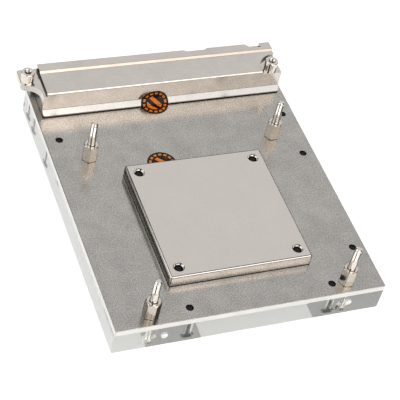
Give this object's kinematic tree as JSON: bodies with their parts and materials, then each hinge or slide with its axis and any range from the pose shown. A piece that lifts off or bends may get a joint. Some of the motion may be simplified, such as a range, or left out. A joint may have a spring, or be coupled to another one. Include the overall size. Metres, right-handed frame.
{
  "type": "monoblock water block",
  "caption": "Water-cooling block with a square cold plate, a raised cooling bar with an ear, pinned posts and a clear channelled cover.",
  "frame": {"origin": "centre of the cold plate's contact face", "axes": "+Z out of the contact face, +Y towards the cooling bar, +X along the front edge to the right"},
  "size_m": [0.1147, 0.129, 0.0323],
  "materials": {
    "clear_acrylic": "machined clear acrylic with polished faces",
    "satin_nickel": "satin nickel plating with a fine speckle",
    "polished_nickel": "smooth bright nickel plating",
    "bar_nickel": "milled and nickel plated, lightly brushed on top",
    "bright_nickel": "bright nickel plated brass",
    "stainless_sheet": "plain stainless sheet",
    "black_steel": "black oxide steel",
    "black_rubber": "soft black seal rubber",
    "seal_paper": "glossy paper seal in black and orange"
  },
  "bodies": {
    "root": {"clear_cover": "clear_acrylic", "base_plate": "satin_nickel", "cold_plate": "polished_nickel", "jet_plate": "stainless_sheet", "cooling_bar": "bar_nickel", "main_o_ring": "black_rubber", "cold_plate_o_ring": "black_rubber", "bar_o_ring": "black_rubber", "ear_standoff": "bright_nickel", "pocket_standoff": "bright_nickel", "cover_screws": "black_steel", "cold_plate_screws": "black_steel", "cooling_bar_screws": "black_steel", "foot_seal": "seal_paper", "edge_seal": "seal_paper", "post_spacer_front_left": "bright_nickel", "post_spacer_front_right": "bright_nickel", "post_spacer_back_right": "bright_nickel", "post_spacer_back_left": "bright_nickel", "post_screw_front_left": "bright_nickel", "post_screw_front_right": "bright_nickel", "post_screw_back_right": "bright_nickel", "post_screw_back_left": "bright_nickel"}
  },
  "joints": []
}
